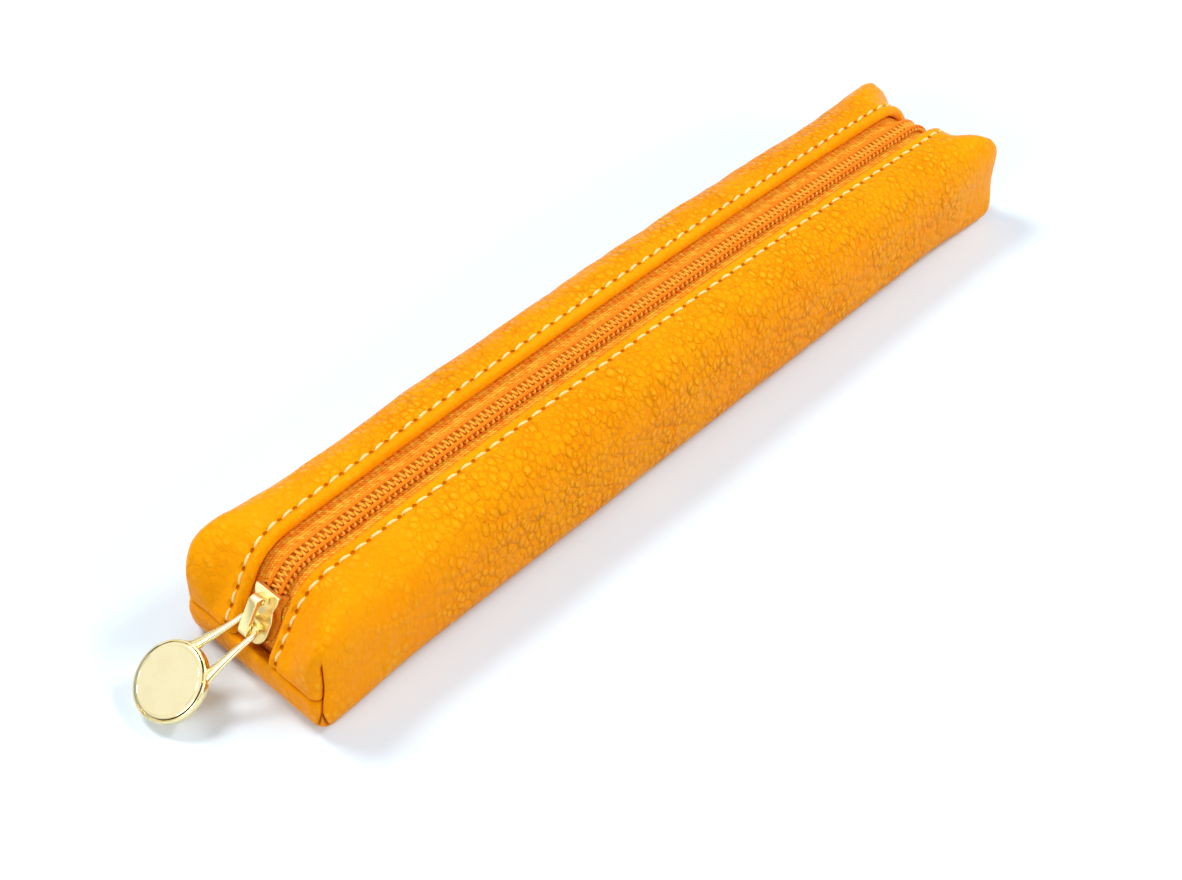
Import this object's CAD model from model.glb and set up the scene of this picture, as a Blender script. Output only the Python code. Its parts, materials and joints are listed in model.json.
"""Looks of the orange leather pencil case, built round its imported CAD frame.

X runs along the case, with the closed end of its zip towards -X. Z is up. All lengths are metres.
"""

import json
import math

import bmesh
import bpy
from mathutils import Matrix, Vector, noise

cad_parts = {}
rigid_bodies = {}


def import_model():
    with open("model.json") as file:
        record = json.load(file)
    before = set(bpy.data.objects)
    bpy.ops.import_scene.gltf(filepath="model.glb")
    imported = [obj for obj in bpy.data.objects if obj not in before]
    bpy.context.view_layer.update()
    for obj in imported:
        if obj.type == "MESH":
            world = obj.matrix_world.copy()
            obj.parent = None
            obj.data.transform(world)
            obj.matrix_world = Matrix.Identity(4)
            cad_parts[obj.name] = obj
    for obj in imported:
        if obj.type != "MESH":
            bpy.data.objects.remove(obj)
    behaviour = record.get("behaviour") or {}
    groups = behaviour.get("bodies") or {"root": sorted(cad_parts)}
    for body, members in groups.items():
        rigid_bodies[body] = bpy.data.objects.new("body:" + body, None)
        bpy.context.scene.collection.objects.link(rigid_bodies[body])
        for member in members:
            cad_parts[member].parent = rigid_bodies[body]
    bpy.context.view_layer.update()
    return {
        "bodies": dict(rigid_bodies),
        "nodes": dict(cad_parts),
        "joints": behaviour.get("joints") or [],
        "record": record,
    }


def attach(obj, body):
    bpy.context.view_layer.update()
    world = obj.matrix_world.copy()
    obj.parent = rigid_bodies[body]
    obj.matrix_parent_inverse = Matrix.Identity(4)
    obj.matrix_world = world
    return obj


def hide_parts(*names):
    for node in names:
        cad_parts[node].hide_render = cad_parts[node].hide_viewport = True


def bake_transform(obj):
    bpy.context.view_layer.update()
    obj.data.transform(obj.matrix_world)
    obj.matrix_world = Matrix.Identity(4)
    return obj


mm = 0.001

# The leather tube, as in the CAD source
case_length = 209 * mm
case_height = 24.5 * mm
crown_rise = 3.1 * mm
end_width = 37.6 * mm
belly = 0.3 * mm
leather_thickness = 1.4 * mm
edge_thickness = 2.3 * mm
slot_width = 10.6 * mm
end_narrowing_share = 0.12
narrowing_reach = 30 * mm
end_drop = 15.7 * mm
top_edge_radius = 10 * mm
bottom_edge_radius = 7 * mm
bottom_end_radius = 4 * mm
corner_plan_radius = 3 * mm
ear_reach = 7.5 * mm
ear_drop = 9 * mm
foot_reach = 3 * mm
end_zone = 28 * mm
ear_swell = 0.4 * mm
ear_size = 7 * mm
squareness = 2.3

# The zip strip that rolls down over both ends
slope_angle = math.radians(58)
slider_overhang = 1.03 * mm
foot_radius = 5 * mm
strip_half_width = 9 * mm
strip_blend_width = 5 * mm
layer_gap = 0.3 * mm
tape_thickness = 0.5 * mm
tape_width = 8.8 * mm
tape_end_gap = 1.5 * mm
lining_thickness = 0.4 * mm
lining_slot_width = 12.4 * mm
lining_clearance = 0.9 * mm

# Coil, stitching and slider
coil_pitch = 1.4 * mm
coil_height = 0.95 * mm
coil_lift = 0.25 * mm
coil_spread = 0.45 * mm
spread_run = 2 * mm
stitch_line = 7.7 * mm
stitch_pitch = 3.7 * mm
slider_length = 10.6 * mm
slider_width = 6.2 * mm
post_start = 1.8 * mm
side_gap = 0.4 * mm

half_length = case_length / 2
seam_height = case_height - end_drop
slope_sine, slope_cosine = math.sin(slope_angle), math.cos(slope_angle)
slope_length = slider_length - slider_overhang
slope_fall = slope_length * slope_sine
roll_radius = (end_drop - slope_fall - foot_radius * slope_cosine) / (1 - slope_cosine)
roll_run = roll_radius * slope_sine
flat_reach = (half_length - roll_run - slope_length * slope_cosine
              - foot_radius * (1 - slope_sine))
slope_start = flat_reach + roll_radius * slope_angle
rail_reach = slope_start + slope_length + foot_radius * (math.pi / 2 - slope_angle)
slider_place = slope_start + slope_length / 2
tape_depth = edge_thickness + layer_gap
tape_middle = tape_depth + tape_thickness / 2
stitch_reach = rail_reach - tape_end_gap
stitch_count = round(2 * stitch_reach / stitch_pitch)
stitch_step = 2 * stitch_reach / stitch_count
tiny = 1e-12
weld = 1e-6


def eased(share):
    share = min(max(share, 0), 1)
    return share * share * (3 - 2 * share)


def mixed(low, high, share):
    return low + (high - low) * share


def bump_at(distance, width):
    """A smooth hump of height 1 where distance is 0."""
    return math.exp(-((distance / width) ** 2))


def arch(x, z):
    return crown_rise * (1 - (x / half_length) ** 2) * z / case_height


def rail(distance, side, depth):
    """A point of the zip strip, at a distance over the crown, to a side and at a depth."""
    run = abs(distance)
    if run <= flat_reach:
        x, z, angle = run, case_height, 0
    elif run <= slope_start:
        angle = (run - flat_reach) / roll_radius
        x = flat_reach + roll_radius * math.sin(angle)
        z = case_height - roll_radius * (1 - math.cos(angle))
    elif run <= slope_start + slope_length:
        angle = slope_angle
        x = flat_reach + roll_run + (run - slope_start) * slope_cosine
        z = case_height - roll_radius * (1 - slope_cosine) - (run - slope_start) * slope_sine
    else:
        angle = min(slope_angle + (run - slope_start - slope_length) / foot_radius, math.pi / 2)
        x = half_length - foot_radius * (1 - math.sin(angle))
        z = seam_height + foot_radius * math.cos(angle)
    lifted = z + arch(x, z)
    x -= depth * math.sin(angle)
    return Vector((math.copysign(x, distance), side, lifted - depth * math.cos(angle)))


def strip_distance(x, z):
    bend = case_height - seam_height + half_length - flat_reach
    down_path = max(case_height - z + abs(x) - flat_reach, 0)
    return min(abs(x), flat_reach) + down_path / bend * (rail_reach - flat_reach)


def drawn_in(distance, narrowing=end_narrowing_share):
    """The share of its width that the zip's slot keeps near the ends."""
    return 1 - narrowing * eased((abs(distance) - rail_reach + narrowing_reach) / narrowing_reach)


def half_width(x):
    return end_width / 2 + belly * (1 - (x / half_length) ** 2)


def box_skin(x, y, z, depth):
    """A point of the plain box, moved onto the rounded tube at this depth."""
    wide = half_width(x)
    near_end = eased((abs(x) - half_length + end_zone) / end_zone)
    near_corner = min(abs(y) / wide, 1) ** 3
    upper = eased(z / seam_height - 0.5)
    reach = mixed(foot_reach, mixed(half_length - flat_reach, ear_reach, near_corner), upper)
    inward = mixed(mixed(bottom_edge_radius, top_edge_radius, upper), corner_plan_radius, near_end)
    crown = mixed(case_height - seam_height, ear_drop, near_corner)
    foot = mixed(bottom_edge_radius, bottom_end_radius, near_end)
    down = mixed(top_edge_radius, crown, near_end) if z > seam_height else foot
    core = Vector((
        math.copysign(min(abs(x), half_length - reach), x),
        math.copysign(min(abs(y), wide - inward), y),
        min(max(z, foot), case_height - down) if z != seam_height else z,
    ))
    offset = Vector((x, y, z)) - core
    shares = (offset.x / reach, offset.y / inward, offset.z / down)
    norm = max(sum(abs(share) ** squareness for share in shares), tiny) ** (1 / squareness)
    point = core.copy()
    for axis, size in enumerate((reach, inward, down)):
        point[axis] += shares[axis] / norm * (size - depth)
    ear = Vector((half_length - ear_reach, wide - ear_size / 2, case_height - ear_drop / 2))
    away = Vector((abs(x), abs(y), z)) - ear
    outward = Vector(shares)
    if outward.length:
        point += outward.normalized() * ear_swell * math.exp(-away.length_squared / ear_size**2)
    point.z += arch(x, z)
    return point


def skin(x, y, z, depth, on_crown):
    point = box_skin(x, y, z, depth)
    if not on_crown:
        return point
    distance = math.copysign(strip_distance(x, z), x)
    off_strip = eased((abs(y) - strip_half_width) / strip_blend_width)
    return mixed(rail(distance, y, depth), point, off_strip)


def spread_at(distance):
    """How far each side of the chain stands off, where the slider's post parts it."""
    into_slider = -distance - slider_place
    return coil_spread * eased((into_slider - post_start + side_gap) / spread_run + 1)


# Mesh helpers

def new_object(name, data):
    made = bpy.data.objects.new(name, data)
    bpy.context.scene.collection.objects.link(made)
    return made


def corners_in(items):
    return [item for item in items if isinstance(item, bmesh.types.BMVert)]


def welded(mesh):
    bmesh.ops.remove_doubles(mesh, verts=mesh.verts, dist=weld)
    bmesh.ops.recalc_face_normals(mesh, faces=mesh.faces)
    return mesh


def dressed(piece, mesh, body, stands_for, sharp):
    """Gives a piece its mesh, and says its body and the nodes that it replaces."""
    mesh.to_mesh(piece.data)
    mesh.free()
    piece.data.shade_smooth()
    piece.data.set_sharp_from_angle(angle=math.radians(sharp))
    if body:
        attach(piece, body)
    if stands_for:
        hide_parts(*stands_for)
    return piece


def finished(name, mesh, finish, body=None, stands_for=(), sharp=35):
    """Turns a bmesh that is in place into a shown piece."""
    piece = new_object(name, bpy.data.meshes.new(name))
    if finish:
        piece.data.materials.append(finish)
    return dressed(piece, mesh, body, stands_for, sharp)


def evaluated(shape):
    """The mesh of an object with its modifiers, or of a curve with its bevel."""
    bpy.context.view_layer.update()
    seen = shape.evaluated_get(bpy.context.evaluated_depsgraph_get())
    return bpy.data.meshes.new_from_object(seen)


def extruded(mesh, faces, rise):
    grown = bmesh.ops.extrude_face_region(mesh, geom=faces)["geom"]
    bmesh.ops.translate(mesh, verts=corners_in(grown), vec=rise)


def spaced(stretches):
    """Places from 0 on, over stretches that each have a length and a step."""
    places = [0.0]
    for length, step in stretches:
        count = max(1, round(length / step))
        start = places[-1]
        places += [start + length * (index + 1) / count for index in range(count)]
    return places


def lattice_box(counts):
    """A box of unit cells: one grid for each face, welded along its edges."""
    mesh = bmesh.new()
    for axis in range(3):
        first, second = [other for other in range(3) if other != axis]
        for end in (0, counts[axis]):
            made = bmesh.ops.create_grid(mesh, x_segments=counts[first], y_segments=counts[second],
                                         size=0.5)
            for corner in made["verts"]:
                place = [0.0, 0.0, 0.0]
                place[first] = round((corner.co.x + 0.5) * counts[first])
                place[second] = round((corner.co.y + 0.5) * counts[second])
                place[axis] = end
                corner.co = place
    bmesh.ops.remove_doubles(mesh, verts=mesh.verts, dist=0.1)
    return mesh


# Node helpers

def add_node(tree, kind, inputs=None, **settings):
    made = tree.nodes.new(kind)
    for name, value in settings.items():
        setattr(made, name, value)
    for name, value in (inputs or {}).items():
        if isinstance(value, bpy.types.NodeSocket):
            tree.links.new(value, made.inputs[name])
        else:
            made.inputs[name].default_value = value
    return made


def feed(tree, node, **links):
    for label, socket in links.items():
        tree.links.new(socket, node.inputs[label.replace("_", " ")])


def calc(tree, operation, *values, clamp=False):
    return add_node(tree, "ShaderNodeMath", dict(enumerate(values)), operation=operation,
                    use_clamp=clamp).outputs[0]


def opposite(tree, value):
    return calc(tree, "SUBTRACT", 1.0, value)


def ribs(tree, value):
    """Round ribs, one for each step of 1."""
    return calc(tree, "ABSOLUTE", calc(tree, "SINE", calc(tree, "MULTIPLY", value, math.pi)))


def vector_calc(tree, operation, *values, **more):
    return add_node(tree, "ShaderNodeVectorMath", {**dict(enumerate(values)), **more},
                    operation=operation).outputs[0]


def ramp_value(tree, value, low, high, to_low=0.0, to_high=1.0):
    return add_node(tree, "ShaderNodeMapRange", {
        "Value": value, "From Min": low, "From Max": high, "To Min": to_low, "To Max": to_high,
    }, interpolation_type="SMOOTHSTEP").outputs[0]


def blend_colour(tree, factor, first, second):
    return add_node(tree, "ShaderNodeMix", {0: factor, 6: first, 7: second}, data_type="RGBA"
                    ).outputs[2]


def colour(red, green, blue):
    return (red, green, blue, 1.0)


def speckle(tree, place, scale, detail=2.0, output=0, **more):
    return add_node(tree, "ShaderNodeTexNoise", {
        "Vector": place, "Scale": scale, "Detail": detail, **more}).outputs[output]


def cells(tree, place, scale, feature="DISTANCE_TO_EDGE", **more):
    return add_node(tree, "ShaderNodeTexVoronoi", {"Vector": place, "Scale": scale, **more},
                    feature=feature).outputs["Distance"]


def parts_of(tree, vector):
    return add_node(tree, "ShaderNodeSeparateXYZ", {0: vector}).outputs


def flat_vector(tree, x, y):
    return add_node(tree, "ShaderNodeCombineXYZ", {0: x, 1: y}).outputs[0]


def attribute(tree, name):
    return add_node(tree, "ShaderNodeAttribute", attribute_name=name).outputs["Fac"]


def uv_place(tree, name):
    return add_node(tree, "ShaderNodeUVMap", uv_map=name).outputs[0]


def object_place(tree, scale=(1, 1, 1)):
    place = tree.nodes.new("ShaderNodeTexCoord").outputs["Object"]
    return add_node(tree, "ShaderNodeMapping", {"Vector": place, "Scale": scale}).outputs[0]


def bump(tree, height, strength, distance):
    return add_node(tree, "ShaderNodeBump", {"Height": height, "Strength": strength,
                                             "Distance": distance}).outputs[0]


def new_group(name, sizes, outputs):
    """A group with a Vector input and an input for each size."""
    tree = bpy.data.node_groups.new(name, "ShaderNodeTree")
    tree.interface.new_socket("Vector", in_out="INPUT", socket_type="NodeSocketVector")
    for label, value in sizes.items():
        size = tree.interface.new_socket(label, in_out="INPUT", socket_type="NodeSocketFloat")
        size.default_value = value
    for label in outputs:
        tree.interface.new_socket(label, in_out="OUTPUT", socket_type="NodeSocketFloat")
    return tree, tree.nodes.new("NodeGroupInput").outputs, tree.nodes.new("NodeGroupOutput")


def use_group(tree, group, **inputs):
    given = {label.replace("_", " "): value for label, value in inputs.items()}
    return add_node(tree, "ShaderNodeGroup", given, node_tree=group).outputs


def new_material(name, **shader_values):
    made = bpy.data.materials.new(name)
    made.use_nodes = True
    shader = made.node_tree.nodes["Principled BSDF"]
    for label, value in shader_values.items():
        shader.inputs[label.replace("_", " ")].default_value = value
    return made, made.node_tree, shader


# Shared effects

def make_pebble_group():
    """Leather grain: domed pebbles of uneven size with creases between them."""
    tree, given, result = new_group("pebbled grain", {"Pebble Size": 1.65 * mm, "Crease": 0.2},
                                    ["Height", "Crease"])
    place = given["Vector"]
    density = calc(tree, "DIVIDE", 1.0, given["Pebble Size"])
    shift = vector_calc(tree, "ADD", speckle(tree, place, 420.0, output="Color"), (-0.5,) * 3)
    shift = vector_calc(tree, "SCALE", shift, Scale=0.6 * mm)
    warped = vector_calc(tree, "ADD", place, shift)
    coarse = cells(tree, warped, density)
    fine = cells(tree, warped, calc(tree, "MULTIPLY", density, 2.1))
    centres = cells(tree, warped, density, "SMOOTH_F1", Smoothness=0.3)
    depth = ramp_value(tree, speckle(tree, place, 210.0), 0.3, 0.7, 0.55, 1.0)
    dome = calc(tree, "MULTIPLY_ADD", calc(tree, "POWER", centres, 2.0), -1.5, 0.75)
    dome = calc(tree, "MULTIPLY_ADD", ramp_value(tree, coarse, -0.03, 0.2), 0.3, dome)
    small = calc(tree, "MULTIPLY", ramp_value(tree, fine, -0.05, 0.4), 0.12)
    near = ramp_value(tree, calc(tree, "DIVIDE", coarse, given["Crease"]), 0.0, 1.0)
    feed(tree, result, Height=calc(tree, "MULTIPLY_ADD", dome, depth, small),
         Crease=calc(tree, "MULTIPLY", opposite(tree, near), depth))
    return tree


def make_weave_group():
    """A plain weave: two sets of threads that pass over and under each other. Tuft differs from
    one crossing to the next."""
    tree, given, result = new_group("plain weave", {"Thread Pitch": 0.4 * mm, "Slant": 0.0},
                                    ["Height", "Gap", "Tuft"])
    place = parts_of(tree, given["Vector"])
    leaning = calc(tree, "MULTIPLY_ADD", place["Y"], given["Slant"], place["X"])
    x = calc(tree, "DIVIDE", leaning, given["Thread Pitch"])
    y = calc(tree, "DIVIDE", place["Y"], given["Thread Pitch"])
    column, row = calc(tree, "FLOOR", x), calc(tree, "FLOOR", y)
    warp, weft = ribs(tree, x), ribs(tree, y)
    over = calc(tree, "ABSOLUTE", calc(tree, "MODULO", calc(tree, "ADD", column, row), 2.0))
    height = calc(tree, "MULTIPLY_ADD", weft, opposite(tree, over),
                  calc(tree, "MULTIPLY", warp, over))
    gap = opposite(tree, calc(tree, "POWER", calc(tree, "MULTIPLY", warp, weft), 0.5))
    tuft = add_node(tree, "ShaderNodeTexWhiteNoise", {"Vector": flat_vector(tree, column, row)})
    feed(tree, result, Height=height, Gap=gap, Tuft=tuft.outputs["Value"])
    return tree


def make_twist_group():
    """Spun thread: strands that wind round it, with a little fuzz."""
    tree, given, result = new_group("twisted strands", {"Strand Pitch": 0.35 * mm}, ["Height"])
    place = parts_of(tree, given["Vector"])
    lean = calc(tree, "MULTIPLY_ADD", place["Y"], 0.9, place["X"])
    lean = calc(tree, "MULTIPLY_ADD", place["Z"], 0.5, lean)
    strand = ribs(tree, calc(tree, "DIVIDE", lean, given["Strand Pitch"]))
    fuzz = speckle(tree, given["Vector"], 9000.0)
    feed(tree, result, Height=calc(tree, "MULTIPLY_ADD", fuzz, 0.25, strand))
    return tree


def make_handling_group():
    """Faint marks of handling on polished metal."""
    tree, given, result = new_group("handling marks", {"Amount": 1.0}, ["Haze", "Height"])
    clouds = speckle(tree, given["Vector"], 260.0, 4.0, Roughness=0.6)
    streaks = add_node(tree, "ShaderNodeMapping", {
        "Vector": given["Vector"], "Scale": (0.12, 1.0, 1.0), "Rotation": (0.3, 0.4, 0.7)})
    lines = speckle(tree, streaks.outputs[0], 5200.0, 3.0)
    haze = calc(tree, "ADD", ramp_value(tree, clouds, 0.4, 0.7, 0.0, 0.6),
                ramp_value(tree, lines, 0.6, 0.75, 0.0, 0.4))
    feed(tree, result, Haze=calc(tree, "MULTIPLY", haze, given["Amount"]),
         Height=calc(tree, "MULTIPLY", lines, given["Amount"]))
    return tree


# Materials

def make_leather(pebbles):
    made, tree, shader = new_material("orange leather", Specular_IOR_Level=0.055,
                                      Specular_Tint=colour(1.0, 0.7, 0.3))
    place = object_place(tree, (1.12, 0.9, 0.78))
    grain = use_group(tree, pebbles, Vector=place)
    patches = speckle(tree, place, 55.0, 3.0)
    pores = speckle(tree, place, 5200.0)
    folds = speckle(tree, object_place(tree, (1, 0.3, 0.16)), 620.0, Distortion=0.6)
    lively = opposite(tree, attribute(tree, "calm"))
    along = parts_of(tree, uv_place(tree, "stitching"))
    phase = calc(tree, "SUBTRACT", calc(tree, "FRACT", calc(tree, "ADD", along["X"], 0.5)), 0.5)
    run = calc(tree, "MULTIPLY", phase, stitch_step / mm)
    aside = calc(tree, "MULTIPLY", along["Y"], 1.3)
    span = calc(tree, "ADD", calc(tree, "POWER", run, 2.0), calc(tree, "POWER", aside, 2.0))
    hole = opposite(tree, ramp_value(tree, span, 0.04, 0.3))
    pucker = opposite(tree, ramp_value(tree, span, 0.1, 1.9))
    height = calc(tree, "MULTIPLY", grain["Height"], ramp_value(tree, lively, 0.0, 1.0, 0.25, 1.0))
    for part, share in ((folds, 0.7), (pores, 0.025), (hole, -0.6), (pucker, -0.3)):
        height = calc(tree, "MULTIPLY_ADD", part, share, height)
    tone = blend_colour(tree, ramp_value(tree, patches, 0.35, 0.7), colour(1.0, 0.38, 0.002),
                        colour(1.0, 0.34, 0.0015))
    rubbed = ramp_value(tree, grain["Height"], 0.7, 1.1)
    creased = calc(tree, "MULTIPLY_ADD", lively, 0.36, 0.04)
    for part, share, layer in ((grain["Crease"], creased, colour(0.95, 0.2, 0.001)),
                               (rubbed, 0.5, colour(1.0, 0.5, 0.02)),
                               (hole, 0.85, colour(0.5, 0.08, 0.001)),
                               (attribute(tree, "seam"), 0.85, colour(0.42, 0.05, 0.001))):
        tone = blend_colour(tree, calc(tree, "MULTIPLY", part, share), tone, layer)
    rough = calc(tree, "MULTIPLY_ADD", grain["Crease"], 0.2, 0.28)
    rough = calc(tree, "MULTIPLY_ADD", patches, 0.08, rough)
    feed(tree, shader, Base_Color=tone, Roughness=rough,
         Normal=bump(tree, height, 1.0, 0.58 * mm))
    return made


def make_woven(name, weave, pitch, light, dark, uv_map=None, slant=0.0, uneven_threads=0.15):
    made, tree, shader = new_material(name, Roughness=0.8, Specular_IOR_Level=0.1,
                                      Specular_Tint=colour(1.0, 0.7, 0.3))
    if uv_map:
        place = uv_place(tree, uv_map)
    else:
        spots = parts_of(tree, object_place(tree))
        place = flat_vector(tree, spots["X"], calc(tree, "ADD", spots["Y"], spots["Z"]))
    threads = use_group(tree, weave, Vector=place, Thread_Pitch=pitch, Slant=slant)
    uneven = speckle(tree, object_place(tree), 900.0, 3.0)
    duller = colour(*(0.86 * part for part in light[:3]))
    tone = blend_colour(tree, ramp_value(tree, uneven, 0.3, 0.7), light, duller)
    shade = calc(tree, "MULTIPLY_ADD", threads["Tuft"], uneven_threads, -0.1)
    shade = calc(tree, "MULTIPLY_ADD", threads["Gap"], 0.85, shade, clamp=True)
    feed(tree, shader, Base_Color=blend_colour(tree, shade, tone, dark),
         Normal=bump(tree, threads["Height"], 0.9, 0.12 * mm))
    return made


def make_nylon():
    made, tree, shader = new_material("orange nylon coil", Specular_IOR_Level=0.55,
                                      Specular_Tint=colour(1.0, 0.75, 0.35),
                                      Subsurface_Weight=0.15, Subsurface_Scale=0.4 * mm)
    uneven = speckle(tree, object_place(tree), 700.0)
    drawn = speckle(tree, object_place(tree, (1, 0.1, 1)), 6000.0)
    feed(tree, shader, Roughness=ramp_value(tree, uneven, 0.2, 0.8, 0.28, 0.42),
         Base_Color=blend_colour(tree, uneven, colour(1.0, 0.38, 0.02), colour(1.0, 0.48, 0.05)),
         Normal=bump(tree, drawn, 0.25, 0.02 * mm))
    return made


def make_thread(name, twist, light, dark):
    made, tree, shader = new_material(name, Roughness=0.6, Specular_IOR_Level=0.3,
                                      Specular_Tint=colour(1.0, 0.8, 0.45))
    strands = use_group(tree, twist, Vector=object_place(tree), Strand_Pitch=0.42 * mm)["Height"]
    feed(tree, shader, Normal=bump(tree, strands, 0.7, 0.05 * mm),
         Base_Color=blend_colour(tree, ramp_value(tree, strands, 0.15, 0.75), dark, light))
    return made


def make_gold(name, marks, light, dark, roughness, amount):
    made, tree, shader = new_material(name, Metallic=1.0)
    worn = use_group(tree, marks, Vector=object_place(tree), Amount=amount)
    feed(tree, shader, Base_Color=blend_colour(tree, worn["Haze"], light, dark),
         Roughness=calc(tree, "MULTIPLY_ADD", worn["Haze"], 0.12, roughness),
         Normal=bump(tree, worn["Height"], 0.12, 0.012 * mm))
    return made


# Leather and lining

fold_radius = edge_thickness / 2
fold_rows = 4
flap_width = 4 * mm
seam_groove = 0.55 * mm
seam_groove_width = 0.42 * mm
end_bulge = 0.28 * mm
end_bulge_width = 2.2 * mm
end_bulge_share = 0.62
corner_crease = 0.8 * mm
corner_crease_width = 0.4 * mm
corner_crease_top = 20.5 * mm
corner_crease_fade = 3 * mm
seam_line_width = 0.24 * mm
fork_top = 6 * mm
fork_slope = 0.3
stitch_groove = 0.42 * mm
stitch_groove_width = 0.5 * mm
stitch_pull_share = 0.38
hem_puff = 0.12 * mm
hem_puff_place = 1.3 * mm
hem_puff_width = 0.7 * mm
wave_size = 15 * mm
wave_height = 0.3 * mm
wrinkle_size = 4.2 * mm
wrinkle_height = 0.16 * mm
wrinkle_stretch = 3.5
still_foot = 5 * mm
rim_width = 0.5 * mm
lining_flat = 3 * mm
lining_rim = mm

# Where the grain calms down: beside the slot, and at each end from a start and over a run
slot_calm = 6 * mm
end_calm_shares = ((-1, 0.8, 46 * mm, 46 * mm), (1, 0.7, 76 * mm, 25 * mm))

# Cells of the leather, in stretches with their steps: finest by the stitching and the seams
corner_zone, corner_step, end_step = 3 * mm, 0.3 * mm, 0.8 * mm
side_start, side_step = 16.3 * mm, 0.28 * mm
hem_stretches = [(0.75 * mm, 0.35 * mm), (1.1 * mm, 0.2 * mm), (0.9 * mm, 0.45 * mm),
                 (7.1 * mm, mm), (end_width / 2 - side_start, side_step)]
foot_zone, foot_step, low_step = 1.5 * mm, 0.4 * mm, 0.9 * mm
seam_zone, seam_step, high_step = 1.5 * mm, 0.25 * mm, 0.85 * mm
slot_cells = 10

# Cells of the lining
lining_long_step, lining_step, lining_strip_step = 3 * mm, 1.5 * mm, 1.4 * mm
lining_side_step, lining_end_step = 1.6 * mm, mm
lining_slot_cells = 8


def from_slot(x, y, z, slot_half, narrowing=end_narrowing_share):
    """How far a place of the skin lies from the zip's slot."""
    aside = max(abs(y) - slot_half * drawn_in(strip_distance(x, z), narrowing), 0)
    return math.hypot(aside, max(seam_height - z, 0))


def folded(distance):
    """How deep the turned edge lies, at a distance from the slot."""
    inside = max(fold_radius - distance, 0)
    return fold_radius - math.sqrt(max(fold_radius**2 - inside**2, 0))


def corner_edge(x, y, z):
    """How far a place lies from the corner seam, which forks at its foot."""
    return half_length - abs(x) + half_width(x) - abs(y) - fork_slope * max(fork_top - z, 0)


def below_ear(z):
    return eased((corner_crease_top - z) / corner_crease_fade)


def seam_shade(x, y, z, on_end):
    """1 in the bottom of the end seam and of the corner seams, and 0 away from them."""
    upright = bump_at(corner_edge(x, y, z), seam_line_width) * below_ear(z)
    level = bump_at(z - seam_height, seam_line_width) if on_end else 0
    return max(upright, level)


def calm_share(x, y, z, slot_half):
    ends = [share * eased((side * x - start) / run) for side, share, start, run in end_calm_shares]
    return max(*ends, 1 - eased(from_slot(x, y, z, slot_half) / slot_calm))


def leather_outer_depth(x, y, z, on_end, on_crown):
    distance = strip_distance(x, z)
    free = from_slot(x, y, z, slot_width / 2)
    depth = 0
    if on_crown:
        line = abs(y) - stitch_line * drawn_in(distance)
        phase = (math.copysign(distance, x) + stitch_reach) / stitch_step
        pulled = 1 - stitch_pull_share * (1 - math.cos(2 * math.pi * phase))
        if distance < stitch_reach + stitch_step:
            depth += stitch_groove * pulled * bump_at(line, stitch_groove_width)
        depth -= hem_puff * bump_at(line + hem_puff_place, hem_puff_width)
    if on_end:
        side_share = 1 - eased((fold_radius - free) / fold_radius)
        depth += seam_groove * bump_at(z - seam_height, seam_groove_width) * side_share
        depth -= end_bulge * bump_at(z - end_bulge_share * seam_height, end_bulge_width)
    depth += corner_crease * bump_at(corner_edge(x, y, z), corner_crease_width) * below_ear(z)
    waves = noise.noise(Vector((x, y, z)) / wave_size)
    wrinkles = noise.noise(Vector((x, y, z / wrinkle_stretch)) / wrinkle_size)
    soft = eased(free / strip_half_width) * eased(z / still_foot)
    depth += soft * (wave_height * waves + wrinkle_height * wrinkles)
    return folded(free) + depth * eased(free / rim_width)


def leather_inner_depth(x, y, z, *_):
    free = from_slot(x, y, z, slot_width / 2)
    turned = 2 * fold_radius - folded(free)
    return mixed(turned, leather_thickness, eased((free - flap_width) / mm))


def lining_outer_depth(x, y, z, _, on_crown):
    top = tape_depth + tape_thickness + layer_gap
    side = leather_thickness + lining_clearance
    free = from_slot(x, y, z, lining_slot_width / 2, 0)
    if on_crown or free < lining_rim:
        return mixed(top, side, eased((free - lining_flat) / lining_flat))
    return side


def lining_inner_depth(x, y, z, on_end, on_crown):
    free = from_slot(x, y, z, lining_slot_width / 2, 0)
    thickness = lining_thickness * eased(free / lining_rim)
    return lining_outer_depth(x, y, z, on_end, on_crown) + thickness


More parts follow.
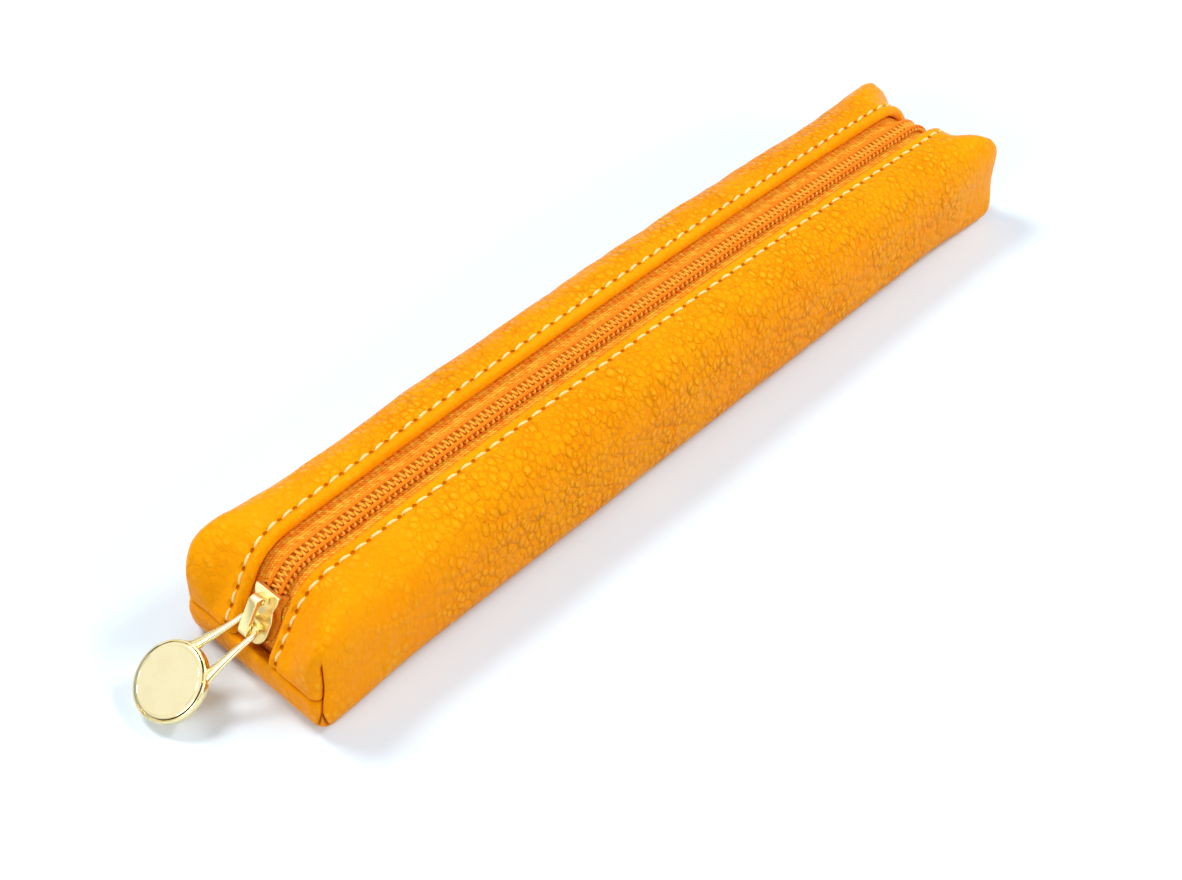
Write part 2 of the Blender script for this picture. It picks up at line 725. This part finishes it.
def add_tube(name, finish, node, depths, places, slot_half, narrowing):
    """A tube with boxed ends and a slot along its crown: a box of cells whose skin is open over
    the slot, moved onto the rounded tube, with an inner skin that meets it at the slot."""
    x_half, y_half, z_all, middle_count = places
    centre = len(x_half) - 1
    edges = (len(y_half) - 1, len(y_half) - 1 + middle_count)
    counts = (2 * centre, sum(edges), len(z_all) - 1)
    seam_row = min(range(len(z_all)), key=lambda row: abs(z_all[row] - seam_height))
    mesh = lattice_box(counts)
    uv = mesh.loops.layers.uv.new("stitching")
    calm_layer = mesh.verts.layers.float.new("calm")
    seam_layer = mesh.verts.layers.float.new("seam")

    def over_slot(face):
        places = [corner.co for corner in face.verts]
        inside = all(edges[0] <= place.y <= edges[1] for place in places)
        on_top = all(place.z == counts[2] for place in places)
        on_end = all(place.x == places[0].x and place.z >= seam_row for place in places)
        return inside and (on_top or on_end)

    gone = [face for face in mesh.faces if over_slot(face)]
    bmesh.ops.delete(mesh, geom=gone, context="FACES")
    outer = list(mesh.verts)
    copied = bmesh.ops.duplicate(mesh, geom=mesh.verts[:] + mesh.edges[:] + mesh.faces[:])["geom"]
    stitched = {}
    for depth_at, corners in zip(depths, (outer, corners_in(copied))):
        for corner in corners:
            column, row, on_end = corner.co.y, round(corner.co.z), corner.co.x in (0, counts[0])
            step = round(corner.co.x) - centre
            x = math.copysign(x_half[abs(step)], step)
            z = z_all[row]
            distance = math.copysign(strip_distance(x, z), x)
            narrow = drawn_in(distance, narrowing)
            if edges[0] < column < edges[1]:
                y = slot_half * narrow * (2 * (column - edges[0]) / middle_count - 1)
            else:
                step = round(column - edges[1] if column >= edges[1] else edges[0] - column)
                fixed = min(y_half[step], strip_half_width) * narrow
                past = max(y_half[step] - strip_half_width, 0) / (end_width / 2 - strip_half_width)
                y = math.copysign(mixed(fixed, half_width(x), past), column - edges[0] - 0.5)
            on_crown = row == counts[2] or (on_end and row >= seam_row)
            line = abs(y) - stitch_line * narrow if on_crown else strip_half_width
            stitched[corner] = ((distance + stitch_reach) / stitch_step, line / mm)
            corner[calm_layer] = calm_share(x, y, z, slot_half)
            corner[seam_layer] = seam_shade(x, y, z, on_end)
            corner.co = skin(x, y, z, depth_at(x, y, z, on_end, on_crown), on_crown)
    for face in mesh.faces:
        for loop in face.loops:
            loop[uv].uv = stitched[loop.vert]
    return finished(name, welded(mesh), finish, "root", (node,), 60)


def add_leather(finish):
    fold_steps = [fold_radius * (1 - math.cos(math.pi / 2 * index / fold_rows))
                  for index in range(fold_rows + 1)]
    x_half = spaced([(flat_reach, stitch_step / 3),
                     (half_length - flat_reach - corner_zone, end_step),
                     (corner_zone, corner_step)])
    y_half = [slot_width / 2 + step for step in fold_steps]
    y_half += [y_half[-1] + place for place in spaced(hem_stretches)[1:]]
    y_half[-1] = end_width / 2
    turned = [seam_height - step for step in reversed(fold_steps)]
    low = spaced([(foot_zone, foot_step), (turned[0] - foot_zone, low_step)])
    high = spaced([(seam_zone, seam_step), (end_drop - seam_zone, high_step)])
    z_all = low[:-1] + turned + [seam_height + place for place in high[1:]]
    z_all[-1] = case_height
    return add_tube("pebbled_leather_tube", finish, "leather_body",
                    (leather_outer_depth, leather_inner_depth),
                    (x_half, y_half, z_all, slot_cells), slot_width / 2, end_narrowing_share)


def add_lining(finish):
    half = lining_slot_width / 2
    x_half = spaced([(flat_reach, lining_long_step), (half_length - flat_reach, lining_end_step)])
    y_half = [half + place for place in spaced([
        (strip_half_width - half, lining_strip_step),
        (end_width / 2 - strip_half_width, lining_side_step)])]
    z_all = spaced([(seam_height, lining_step), (end_drop, lining_step)])
    z_all[-1] = case_height
    return add_tube("cloth_lining", finish, "lining",
                    (lining_outer_depth, lining_inner_depth),
                    (x_half, y_half, z_all, lining_slot_cells), half, 0)


# Zip strip: these pieces are modelled flat, with X along the strip and Z out of it, and then
# rolled over both ends of the case

tape_columns = 12
tape_edge_gap = 0.9 * mm
tape_stretch = 0.9 * mm
coil_points = 8
wire_radius = 0.29 * mm
coil_middle = 0.95 * mm
coil_half_width = 1.3 * mm
coil_half_height = 0.33 * mm
coil_thread_line = 1.5 * mm
coil_thread_radius = 0.24 * mm
thread_points = 4
strand_gap = 0.17 * mm
thread_wave = 0.05 * mm
stitch_length = 2.5 * mm
stitch_width = 0.6 * mm
stitch_height = 0.48 * mm
stitch_dive = 0.32 * mm
stitch_slant = math.radians(7)
stitch_sides, stitch_rings = 8, 7
blunt_power, dive_power = 0.75, 3
uneven_along, uneven_aside = 1.7, 3.1


def rolled(mesh):
    for corner in mesh.verts:
        corner.co = rail(corner.co.x, corner.co.y, -corner.co.z)
    bmesh.ops.recalc_face_normals(mesh, faces=mesh.faces)
    return mesh


def add_zip_tape(word, side, finish):
    mesh = bmesh.new()
    uv = mesh.loops.layers.uv.new("weave")
    bmesh.ops.create_grid(mesh, x_segments=round(2 * stitch_reach / tape_stretch),
                          y_segments=tape_columns, size=1, calc_uvs=False)
    for corner in mesh.verts:
        distance = corner.co.x * stitch_reach
        inner = tape_edge_gap / 2 + spread_at(distance)
        across = mixed(inner, tape_width, (corner.co.y + 1) / 2)
        corner.co = (distance, side * across, -tape_depth)
    extruded(mesh, mesh.faces[:], (0, 0, -tape_thickness))
    for face in mesh.faces:
        for loop in face.loops:
            loop[uv].uv = (loop.vert.co.x / mm, loop.vert.co.y / mm)
    tape = finished(f"woven_tape_{word}", rolled(mesh), finish,
                    stands_for=(f"zip_tape_{word}",))
    crown = rail(0, 0, tape_depth).z
    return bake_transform(tape)


def wire(name, strands, radius, finish, body, node):
    """Round strands, each along its points, with closed ends."""
    line = bpy.data.curves.new(name, "CURVE")
    line.dimensions = "3D"
    line.bevel_depth = radius
    line.bevel_resolution = 1
    line.use_fill_caps = True
    for points in strands:
        run = line.splines.new("POLY")
        run.points.add(len(points) - 1)
        for place, point in zip(run.points, points):
            place.co = (*point, 1)
    guide = new_object(name + "_guide", line)
    mesh = bmesh.new()
    mesh.from_mesh(evaluated(guide))
    bpy.data.objects.remove(guide)
    return finished(name, welded(mesh), finish, body, (node,), 75)


def add_coil(word, side, finish):
    """One side of the chain: a filament wound flat, whose heads lie between the other side's."""
    middle_depth = tape_depth - wire_radius - coil_half_height
    turns = int(2 * (stitch_reach - coil_pitch) / coil_pitch)
    start = -turns * coil_pitch / 2 + (coil_pitch / 2 if side > 0 else 0)
    points = []
    for step in range(turns * coil_points):
        angle = 2 * math.pi * (step + 0.5) / coil_points
        distance = start + step * coil_pitch / coil_points
        across = spread_at(distance) + coil_middle + coil_half_width * math.cos(angle)
        points.append(rail(distance, side * across,
                           middle_depth - coil_half_height * math.sin(angle)))
    return wire(f"wound_coil_{word}", [points], wire_radius, finish, f"chain_{word}",
                f"coil_{word}")


def add_coil_thread(word, side, finish):
    top = tape_depth - 2 * wire_radius - 2 * coil_half_height
    turns = int(2 * (stitch_reach - 2 * coil_pitch) / coil_pitch)
    strands = []
    for shift in (-strand_gap, strand_gap):
        points = []
        for step in range(thread_points * turns + 1):
            distance = (step / thread_points - turns / 2) * coil_pitch
            wave = thread_wave * math.cos(2 * math.pi * step / thread_points)
            across = spread_at(distance) + coil_thread_line + shift
            points.append(rail(distance, side * across, top - wave))
        strands.append(points)
    return wire(f"sewing_line_{word}", strands, coil_thread_radius, finish, f"chain_{word}",
                f"coil_thread_{word}")


def add_topstitch(word, side, finish):
    """A row of separate stitches, each with its ends down in its holes."""
    mesh = bmesh.new()
    for index in range(stitch_count):
        distance = -stitch_reach + (index + 0.5) * stitch_step
        made = bmesh.ops.create_uvsphere(mesh, u_segments=stitch_sides, v_segments=stitch_rings,
                                         radius=1, matrix=Matrix.Rotation(math.pi / 2, 4, "Y"))
        uneven = noise.noise(Vector((index * uneven_along, side * uneven_aside, 0.5)))
        turn = Matrix.Rotation(side * stitch_slant * (1 + 0.5 * uneven), 4, "Z")
        line = side * stitch_line * drawn_in(distance)
        for corner in made["verts"]:
            x = math.copysign(abs(corner.co.x) ** blunt_power, corner.co.x)
            dive = stitch_dive * abs(x) ** dive_power
            flat = Vector((x * stitch_length / 2, corner.co.y * stitch_width / 2,
                           corner.co.z * stitch_height / 2 - dive))
            corner.co = turn @ flat + Vector((distance, line, 0))
    return finished(f"stitches_{word}", rolled(mesh), finish, "root",
                    (f"topstitch_{word}",))


# Slider, its strap and its pin

plate_low = tape_middle - tape_depth + coil_lift + coil_height + 0.7 * mm
plate_thickness = 0.75 * mm
plate_top = plate_low + plate_thickness
low_plate = -0.55 * mm
plate_rows, plate_columns = 30, 10
top_round = 0.24 * mm
low_round = 0.2 * mm
tail_width = 6.1 * mm
waist_width = 4.9 * mm
tail_rise = 0.35 * mm
waist_sink, waist_sink_width = 0.1 * mm, 1.6 * mm
channel_tail_width = 4.6 * mm
channel_nose_width = 5.5 * mm
channel_flare = 1.6 * mm
tape_channel = 1.1 * mm
post_length = 2.8 * mm
post_width = 0.7 * mm
tail_end = -5.3 * mm
waist_start = -4.1 * mm
waist_middle = -2.3 * mm
shoulder = 0.2 * mm
nose_start = 2.4 * mm
nose_round = 3.15 * mm
overrun = mm
bridge_width = 2.1 * mm
bridge_height = 3.3 * mm
bridge_band = 1.1 * mm
bridge_tail = -4.4 * mm
bridge_nose = 3.8 * mm
bridge_tail_leg = 1.8 * mm
bridge_leg = 0.9 * mm
bridge_gap = 0.2 * mm
bridge_outer_round, bridge_inner_round = 1.3 * mm, 0.5 * mm
bridge_edge_round = 0.22 * mm
pin_radius = 0.35 * mm
pin_clearance = 0.15 * mm
pin_reach = 1.3 * mm
pin_round = 0.14 * mm
pin_sides = 24


def slider_frame():
    middle = rail(-slider_place, 0, tape_middle)
    run = rail(-slider_place + slider_length / 4, 0, tape_middle) - middle
    tilt = Matrix.Rotation(-math.atan2(run.z, run.x), 4, "Y") @ Matrix.Rotation(math.pi, 4, "Z")
    return Matrix.Translation(middle) @ tilt


def slider_half_width(x):
    tail, waist, wide = tail_width / 2, waist_width / 2, slider_width / 2
    if x < waist_middle:
        return mixed(tail, waist, eased((x - waist_start) / (waist_middle - waist_start)))
    if x < nose_start:
        return mixed(waist, wide, eased((x - waist_middle) / (shoulder - waist_middle)))
    return wide * math.sqrt(1 - ((x - nose_start) / nose_round) ** 2)


def soften(mesh, items, width, segments=3, kind="EDGES"):
    bmesh.ops.bevel(mesh, geom=items, offset=width, segments=segments, profile=0.5,
                    affect=kind, material=-1, clamp_overlap=kind == "EDGES")


def side_rims(mesh):
    """The edges that lie in a plane across Y."""
    return [edge for edge in mesh.edges if abs(edge.verts[0].co.y - edge.verts[1].co.y) < weld]


def combined(piece, others, operation):
    for other in others:
        modifier = piece.modifiers.new("part", "BOOLEAN")
        modifier.operation = operation
        modifier.object = other
    made = evaluated(piece)
    piece.modifiers.clear()
    piece.data = made
    for other in others:
        bpy.data.objects.remove(other)


def settled(piece, place, body, node, sharp=32):
    """Puts a piece that was modelled about its own origin in its place on the case."""
    mesh = bmesh.new()
    mesh.from_mesh(piece.data)
    mesh.transform(place)
    return dressed(piece, welded(mesh), body, (node,), sharp)


def block(name, low, high):
    mesh = bmesh.new()
    bmesh.ops.create_cube(mesh, size=1)
    bmesh.ops.scale(mesh, vec=Vector(high) - Vector(low), verts=mesh.verts)
    bmesh.ops.translate(mesh, vec=(Vector(low) + Vector(high)) / 2, verts=mesh.verts)
    return finished(name, mesh, None)


def rod(place, radius, length):
    mesh = bmesh.new()
    bmesh.ops.create_cone(mesh, cap_ends=True, segments=pin_sides, radius1=radius,
                          radius2=radius, depth=length, matrix=place)
    return mesh


def add_slider(finish):
    low, reach = low_plate - plate_thickness, slider_length / 2
    mesh = bmesh.new()
    bmesh.ops.create_grid(mesh, x_segments=plate_rows, y_segments=plate_columns, size=1)
    for corner in mesh.verts:
        x = mixed(tail_end, reach, (corner.co.x + 1) / 2)
        corner.co = (x, corner.co.y * slider_half_width(x), low)
    extruded(mesh, mesh.faces[:], (0, 0, plate_top - low))
    bmesh.ops.recalc_face_normals(mesh, faces=mesh.faces)

    def rims(wanted):
        return [edge for edge in mesh.edges if edge.calc_face_angle(0) > 1
                and all(wanted(corner.co.z) for corner in edge.verts)]

    soften(mesh, rims(lambda z: z > plate_low), top_round)
    soften(mesh, rims(lambda z: z < low_plate), low_round, 2)
    for corner in mesh.verts:
        if corner.co.z > low_plate:
            flare = eased((waist_middle - corner.co.x) / (waist_middle - tail_end))
            sink = bump_at(corner.co.x - waist_middle, waist_sink_width)
            corner.co.z += tail_rise * flare - waist_sink * sink
    slider = finished("cast_slider", mesh, finish)
    half = [(tail_end - overrun, channel_tail_width / 2), (-shoulder, channel_tail_width / 2),
            (shoulder + channel_flare, channel_nose_width / 2),
            (reach + overrun, channel_nose_width / 2)]
    outline = half + [(x, -y) for x, y in reversed(half)]
    channel = bmesh.new()
    channel.faces.new([channel.verts.new((x, y, low_plate)) for x, y in outline])
    extruded(channel, channel.faces[:], (0, 0, plate_low - low_plate))
    wide = reach + overrun
    gap = block("tape_gap", (-wide, -wide, low_plate), (wide, wide, tape_channel / 2))
    combined(slider, [finished("channel", welded(channel), None), gap], "DIFFERENCE")
    post = block("post", (post_start, -post_width / 2, low_plate - plate_thickness / 2),
                 (post_start + post_length, post_width / 2, plate_low + plate_thickness / 2))
    combined(slider, [post], "UNION")
    return settled(slider, slider_frame(), "slider", "slider_body")


def add_bridge(finish):
    low, top = plate_top + bridge_gap, plate_top + bridge_height
    under = top - bridge_band
    outline = [(bridge_tail, low), (bridge_tail, top), (bridge_nose, top), (bridge_nose, low),
               (bridge_nose - bridge_leg, low), (bridge_nose - bridge_leg, under),
               (bridge_tail + bridge_tail_leg, under), (bridge_tail + bridge_tail_leg, low)]
    mesh = bmesh.new()
    corners = [mesh.verts.new((x, -bridge_width / 2, z)) for x, z in outline]
    mesh.faces.new(corners)
    soften(mesh, corners[1:3], bridge_outer_round, 6, "VERTICES")
    soften(mesh, corners[5:7], bridge_inner_round, 6, "VERTICES")
    extruded(mesh, mesh.faces[:], (0, bridge_width, 0))
    soften(mesh, side_rims(mesh), bridge_edge_round)
    bmesh.ops.recalc_face_normals(mesh, faces=mesh.faces)
    bridge = finished("slider_strap", mesh, finish)
    pin_place = Vector((bridge_tail + bridge_tail_leg / 2, 0, plate_top + bridge_height / 2))
    across = Matrix.Translation(pin_place) @ Matrix.Rotation(math.pi / 2, 4, "X")
    hole = rod(across, pin_radius + pin_clearance, 2 * bridge_width)
    combined(bridge, [finished("pin_hole", hole, None)], "DIFFERENCE")
    settled(bridge, slider_frame(), "slider", "slider_bridge")
    pin = rod(across, pin_radius, 2 * pin_reach)
    soften(pin, side_rims(pin), pin_round)
    settled(finished("cross_pin", pin, finish), slider_frame(), "slider_carriage",
            "slider_pin")


# Pull

pull_radius = 7.6 * mm
pull_thickness = 2.4 * mm
pull_reach = 18 * mm
back_round, back_rise = 1.5 * mm, 1.1 * mm
rim_drop, rim_inset, rim_round = 0.3 * mm, 0.2 * mm, 0.09 * mm
pull_rim = 0.4 * mm
lip_round = 0.06 * mm
recess_depth = 0.9 * mm
bar_radius = 0.6 * mm
bar_forward = 1.4 * mm
bar_clearance = 0.35 * mm
loop_bend = 1.25 * mm
arm_line = 2.35 * mm
arm_root_line = 3.55 * mm
arm_root_width, arm_root_height = 1.35 * mm, 0.98 * mm
arm_root_share = 0.72
arm_swell_power, arm_spread_power = 2.2, 1.4
arm_steps, bend_steps = 10, 6
pull_sides, bar_sides = 96, 16
face_gap = 0.2 * mm
face_rise = 0.3 * mm
face_dome = 0.14 * mm
ring_inset, ring_width = 0.75 * mm, 0.18 * mm
ring_slope, ring_depth = 0.05 * mm, 0.07 * mm
face_bevel, face_edge, face_drop, face_lip = 0.2 * mm, 0.06 * mm, 0.05 * mm, 0.02 * mm
pull_turn = math.radians(24)
pull_drop = math.radians(31)
pull_tip = math.radians(-11)
quarter_turns = [math.pi / 2 * index / bend_steps for index in range(bend_steps + 1)]


def pull_frame_place():
    under = plate_top + bridge_height - bridge_band - bar_clearance - bar_radius
    turn = (Matrix.Rotation(math.pi - pull_turn, 4, "Z") @ Matrix.Rotation(pull_drop, 4, "Y")
            @ Matrix.Rotation(pull_tip, 4, "X"))
    return Matrix.Translation(slider_frame() @ Vector((bar_forward, 0, under))) @ turn


def turned(name, profile, finish):
    """A solid turned about Z from its profile, which runs from the axis and back to it."""
    mesh = bmesh.new()
    points = [mesh.verts.new((radius, 0, z)) for radius, z in profile]
    edges = [mesh.edges.new(pair) for pair in zip(points, points[1:])]
    bmesh.ops.spin(mesh, geom=points + edges, axis=(0, 0, 1), cent=(0, 0, 0),
                   angle=2 * math.pi, steps=pull_sides, use_merge=True)
    welded(mesh)
    bmesh.ops.translate(mesh, verts=mesh.verts, vec=(pull_reach, 0, 0))
    return finished(name, mesh, finish)


def sweep(name, stations):
    """A closed bar through stations: its place along X and Y, its half width and half height."""
    mesh = bmesh.new()
    matrices = []
    for index, (x, y, half, tall) in enumerate(stations):
        before, after = stations[max(index - 1, 0)], stations[min(index + 1, len(stations) - 1)]
        heading = math.atan2(after[1] - before[1], after[0] - before[0])
        matrices.append(Matrix.Translation((x, y, 0)) @ Matrix.Rotation(heading, 4, "Z")
                        @ Matrix.Rotation(math.pi / 2, 4, "Y")
                        @ Matrix.Diagonal((tall, half, 1, 1)))
    made = bmesh.ops.create_circle(mesh, cap_ends=True, segments=bar_sides, radius=1,
                                   matrix=matrices[0])
    ring = list({edge for corner in made["verts"] for edge in corner.link_edges})
    for before, after in zip(matrices, matrices[1:]):
        grown = bmesh.ops.extrude_edge_only(mesh, edges=ring)["geom"]
        ring = [item for item in grown if isinstance(item, bmesh.types.BMEdge)]
        bmesh.ops.transform(mesh, matrix=after @ before.inverted(), verts=corners_in(grown))
    bmesh.ops.holes_fill(mesh, edges=mesh.edges)
    bmesh.ops.recalc_face_normals(mesh, faces=mesh.faces)
    return finished(name, mesh, None)


def add_pull(finish, face_finish):
    half = pull_thickness / 2
    floor_z = half - recess_depth
    inner = pull_radius - pull_rim
    profile = [(0, -half)] + [
        (pull_radius - back_round * (1 - math.sin(turn)),
         back_rise * (1 - math.cos(turn)) - half) for turn in quarter_turns]
    profile += [(pull_radius, half - rim_drop), (pull_radius - rim_round, half - rim_round),
                (pull_radius - rim_inset, half), (inner + lip_round, half),
                (inner, half - lip_round), (inner, floor_z), (0, floor_z)]
    frame = turned("round_pull", profile, finish)
    root = pull_reach - arm_root_share * pull_radius
    arm = []
    for index in range(arm_steps + 1):
        share = 1 - index / arm_steps
        swell = share**arm_swell_power
        arm.append((mixed(loop_bend, root, share),
                    mixed(arm_line, arm_root_line, share**arm_spread_power),
                    mixed(bar_radius, arm_root_width, swell),
                    mixed(bar_radius, arm_root_height, swell)))
    for turn in quarter_turns[1:]:
        arm.append((loop_bend * (1 - math.sin(turn)), arm_line - loop_bend * (1 - math.cos(turn)),
                    bar_radius, bar_radius))
    stations = arm + [(x, -y, wide, tall) for x, y, wide, tall in reversed(arm)]
    combined(frame, [sweep("arms", stations)], "UNION")
    settled(frame, pull_frame_place(), "pull", "pull_frame", 40)

    wide = inner - face_gap
    ring = wide - ring_inset

    def domed(radius):
        return half + face_rise - face_dome * (radius / wide) ** 2

    face = [(ring * share, domed(ring * share)) for share in (0, 0.25, 0.5, 0.75, 1)]
    face += [(ring + ring_slope, domed(ring) - ring_depth),
             (ring + ring_width - ring_slope, domed(ring) - ring_depth),
             (ring + ring_width, domed(ring)), (wide - face_bevel, domed(wide) + face_lip),
             (wide - face_edge, domed(wide) - face_drop), (wide, domed(wide) - face_bevel),
             (wide, floor_z + face_gap), (0, floor_z + face_gap)]
    plate = turned("pull_face", face, face_finish)
    settled(plate, pull_frame_place(), "pull", "pull_medallion", 40)


# Stage

photo_width = 1182
focal_pixels = 1840.3
camera_turn = math.radians(-48.718)
camera_rise = math.radians(44.68)
camera_roll = math.radians(1.965)
camera_distance = 379.21 * mm
camera_target = Vector((-16.556 * mm, -1.806 * mm, 0))
floor_half = 4
floor_drop = 0.02 * mm
glow_scale, glow_start, glow_end = (1, 2.2, 1), 0.12, 0.4
white = colour(1, 1, 1)

# Each lamp's name, place, size, watts and colour
lamps = (
    ("key softbox", (-0.12, 0.34, 0.62), (0.2, 0.2), 2.7, (1.0, 0.99, 0.97)),
    ("top strip", (0.36, -0.28, 0.58), (0.24, 0.08), 1.8, (1, 1, 1)),
    ("side fill", (0.2, -0.6, 0.34), (0.5, 0.25), 1.6, (1, 1, 1)),
    ("end fill", (-0.56, -0.12, 0.34), (0.25, 0.25), 1.2, (1, 1, 1)),
)


def add_camera():
    back = Vector((math.sin(camera_turn) * math.cos(camera_rise),
                   -math.cos(camera_turn) * math.cos(camera_rise), math.sin(camera_rise)))
    right = (-back).cross(Vector((0, 0, 1))).normalized()
    up = right.cross(-back)
    turned_right = right * math.cos(camera_roll) + up * math.sin(camera_roll)
    turned_up = up * math.cos(camera_roll) - right * math.sin(camera_roll)
    lens = bpy.data.cameras.new("camera")
    lens.sensor_width = 36
    lens.lens = focal_pixels / photo_width * lens.sensor_width
    lens.clip_start = 10 * mm
    camera = new_object("camera", lens)
    axes = Matrix((turned_right, turned_up, back)).transposed().to_4x4()
    camera.matrix_world = Matrix.Translation(camera_target + back * camera_distance) @ axes
    bpy.context.scene.camera = camera


def add_floor():
    """A table that looks white away from the case and keeps its shadow near it."""
    mesh = bmesh.new()
    bmesh.ops.create_grid(mesh, x_segments=1, y_segments=1, size=floor_half)
    made, tree, shader = new_material("white table", Roughness=0.9, Specular_IOR_Level=0.0,
                                      Emission_Strength=1)
    path = tree.nodes.new("ShaderNodeLightPath").outputs
    seen = calc(tree, "MAXIMUM", path["Is Camera Ray"], path["Is Glossy Ray"])
    away = add_node(tree, "ShaderNodeVectorMath", {0: object_place(tree, glow_scale)},
                    operation="LENGTH").outputs["Value"]
    glow = blend_colour(tree, ramp_value(tree, away, glow_start, glow_end),
                        colour(0.06, 0.05, 0.05), white)
    feed(tree, shader, Emission_Color=blend_colour(tree, seen, colour(0, 0, 0), glow),
         Base_Color=blend_colour(tree, seen, colour(0.62, 0.62, 0.63), colour(0.77, 0.9, 1.0)))
    floor = finished("table", mesh, made)
    floor.data.transform(Matrix.Translation((0, 0, -floor_drop)))


def add_lamp(name, place, size, watts, tint):
    lamp = bpy.data.lights.new(name, "AREA")
    lamp.shape = "RECTANGLE"
    lamp.size, lamp.size_y = size
    lamp.energy = watts
    lamp.color = tint
    made = new_object(name, lamp)
    made.location = place
    made.rotation_euler = (-Vector(place)).to_track_quat("-Z", "Y").to_euler()


def add_world():
    world = bpy.data.worlds.new("studio")
    bpy.context.scene.world = world
    world.use_nodes = True
    tree = world.node_tree
    path = tree.nodes.new("ShaderNodeLightPath").outputs
    up = parts_of(tree, tree.nodes.new("ShaderNodeTexCoord").outputs["Generated"])["Z"]
    room = blend_colour(tree, ramp_value(tree, up, 0.0, 0.55), colour(0.1, 0.085, 0.06), white)
    soft = blend_colour(tree, path["Is Glossy Ray"], colour(0.28, 0.28, 0.29), room)
    feed(tree, tree.nodes["Background"],
         Color=blend_colour(tree, path["Is Camera Ray"], soft, white))


def main():
    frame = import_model()
    bpy.context.scene.view_settings.view_transform = "Standard"
    add_camera()
    add_floor()
    add_world()
    for lamp in lamps:
        add_lamp(*lamp)

    pebbles, weave = make_pebble_group(), make_weave_group()
    twist, marks = make_twist_group(), make_handling_group()
    leather = make_leather(pebbles)
    cloth = make_woven("lining cloth", weave, 0.45 * mm, colour(0.72, 0.17, 0.02),
                       colour(0.4, 0.06, 0.006))
    webbing = make_woven("orange webbing", weave, 0.64, colour(1.0, 0.66, 0.06),
                         colour(0.9, 0.15, 0.002), "weave", 0.8, 0.6)
    nylon = make_nylon()
    cream = make_thread("cream thread", twist, colour(1.0, 0.8, 0.36), colour(0.95, 0.56, 0.16))
    orange = make_thread("orange thread", twist, colour(1.0, 0.27, 0.006),
                         colour(0.9, 0.16, 0.003))
    gold = make_gold("pale gold", marks, colour(0.95, 0.83, 0.47), colour(0.85, 0.7, 0.34),
                     0.14, 1.0)
    polished = make_gold("polished gold", marks, colour(0.97, 0.88, 0.55),
                         colour(0.92, 0.8, 0.46), 0.12, 0.6)
    cast = make_gold("cast gold", marks, colour(0.93, 0.78, 0.38), colour(0.84, 0.66, 0.28),
                     0.3, 0.15)

    add_leather(leather)
    add_lining(cloth)
    for word, side in (("left", 1), ("right", -1)):
        add_zip_tape(word, side, webbing)
        add_coil(word, side, nylon)
        add_coil_thread(word, side, orange)
        add_topstitch(word, side, cream)
    for name, node in frame["nodes"].items():
        if "seam_thread" in name or "corner_thread" in name:
            node.data.materials.clear()
            node.data.materials.append(orange)
    add_slider(cast)
    add_bridge(cast)
    add_pull(gold, polished)


main()
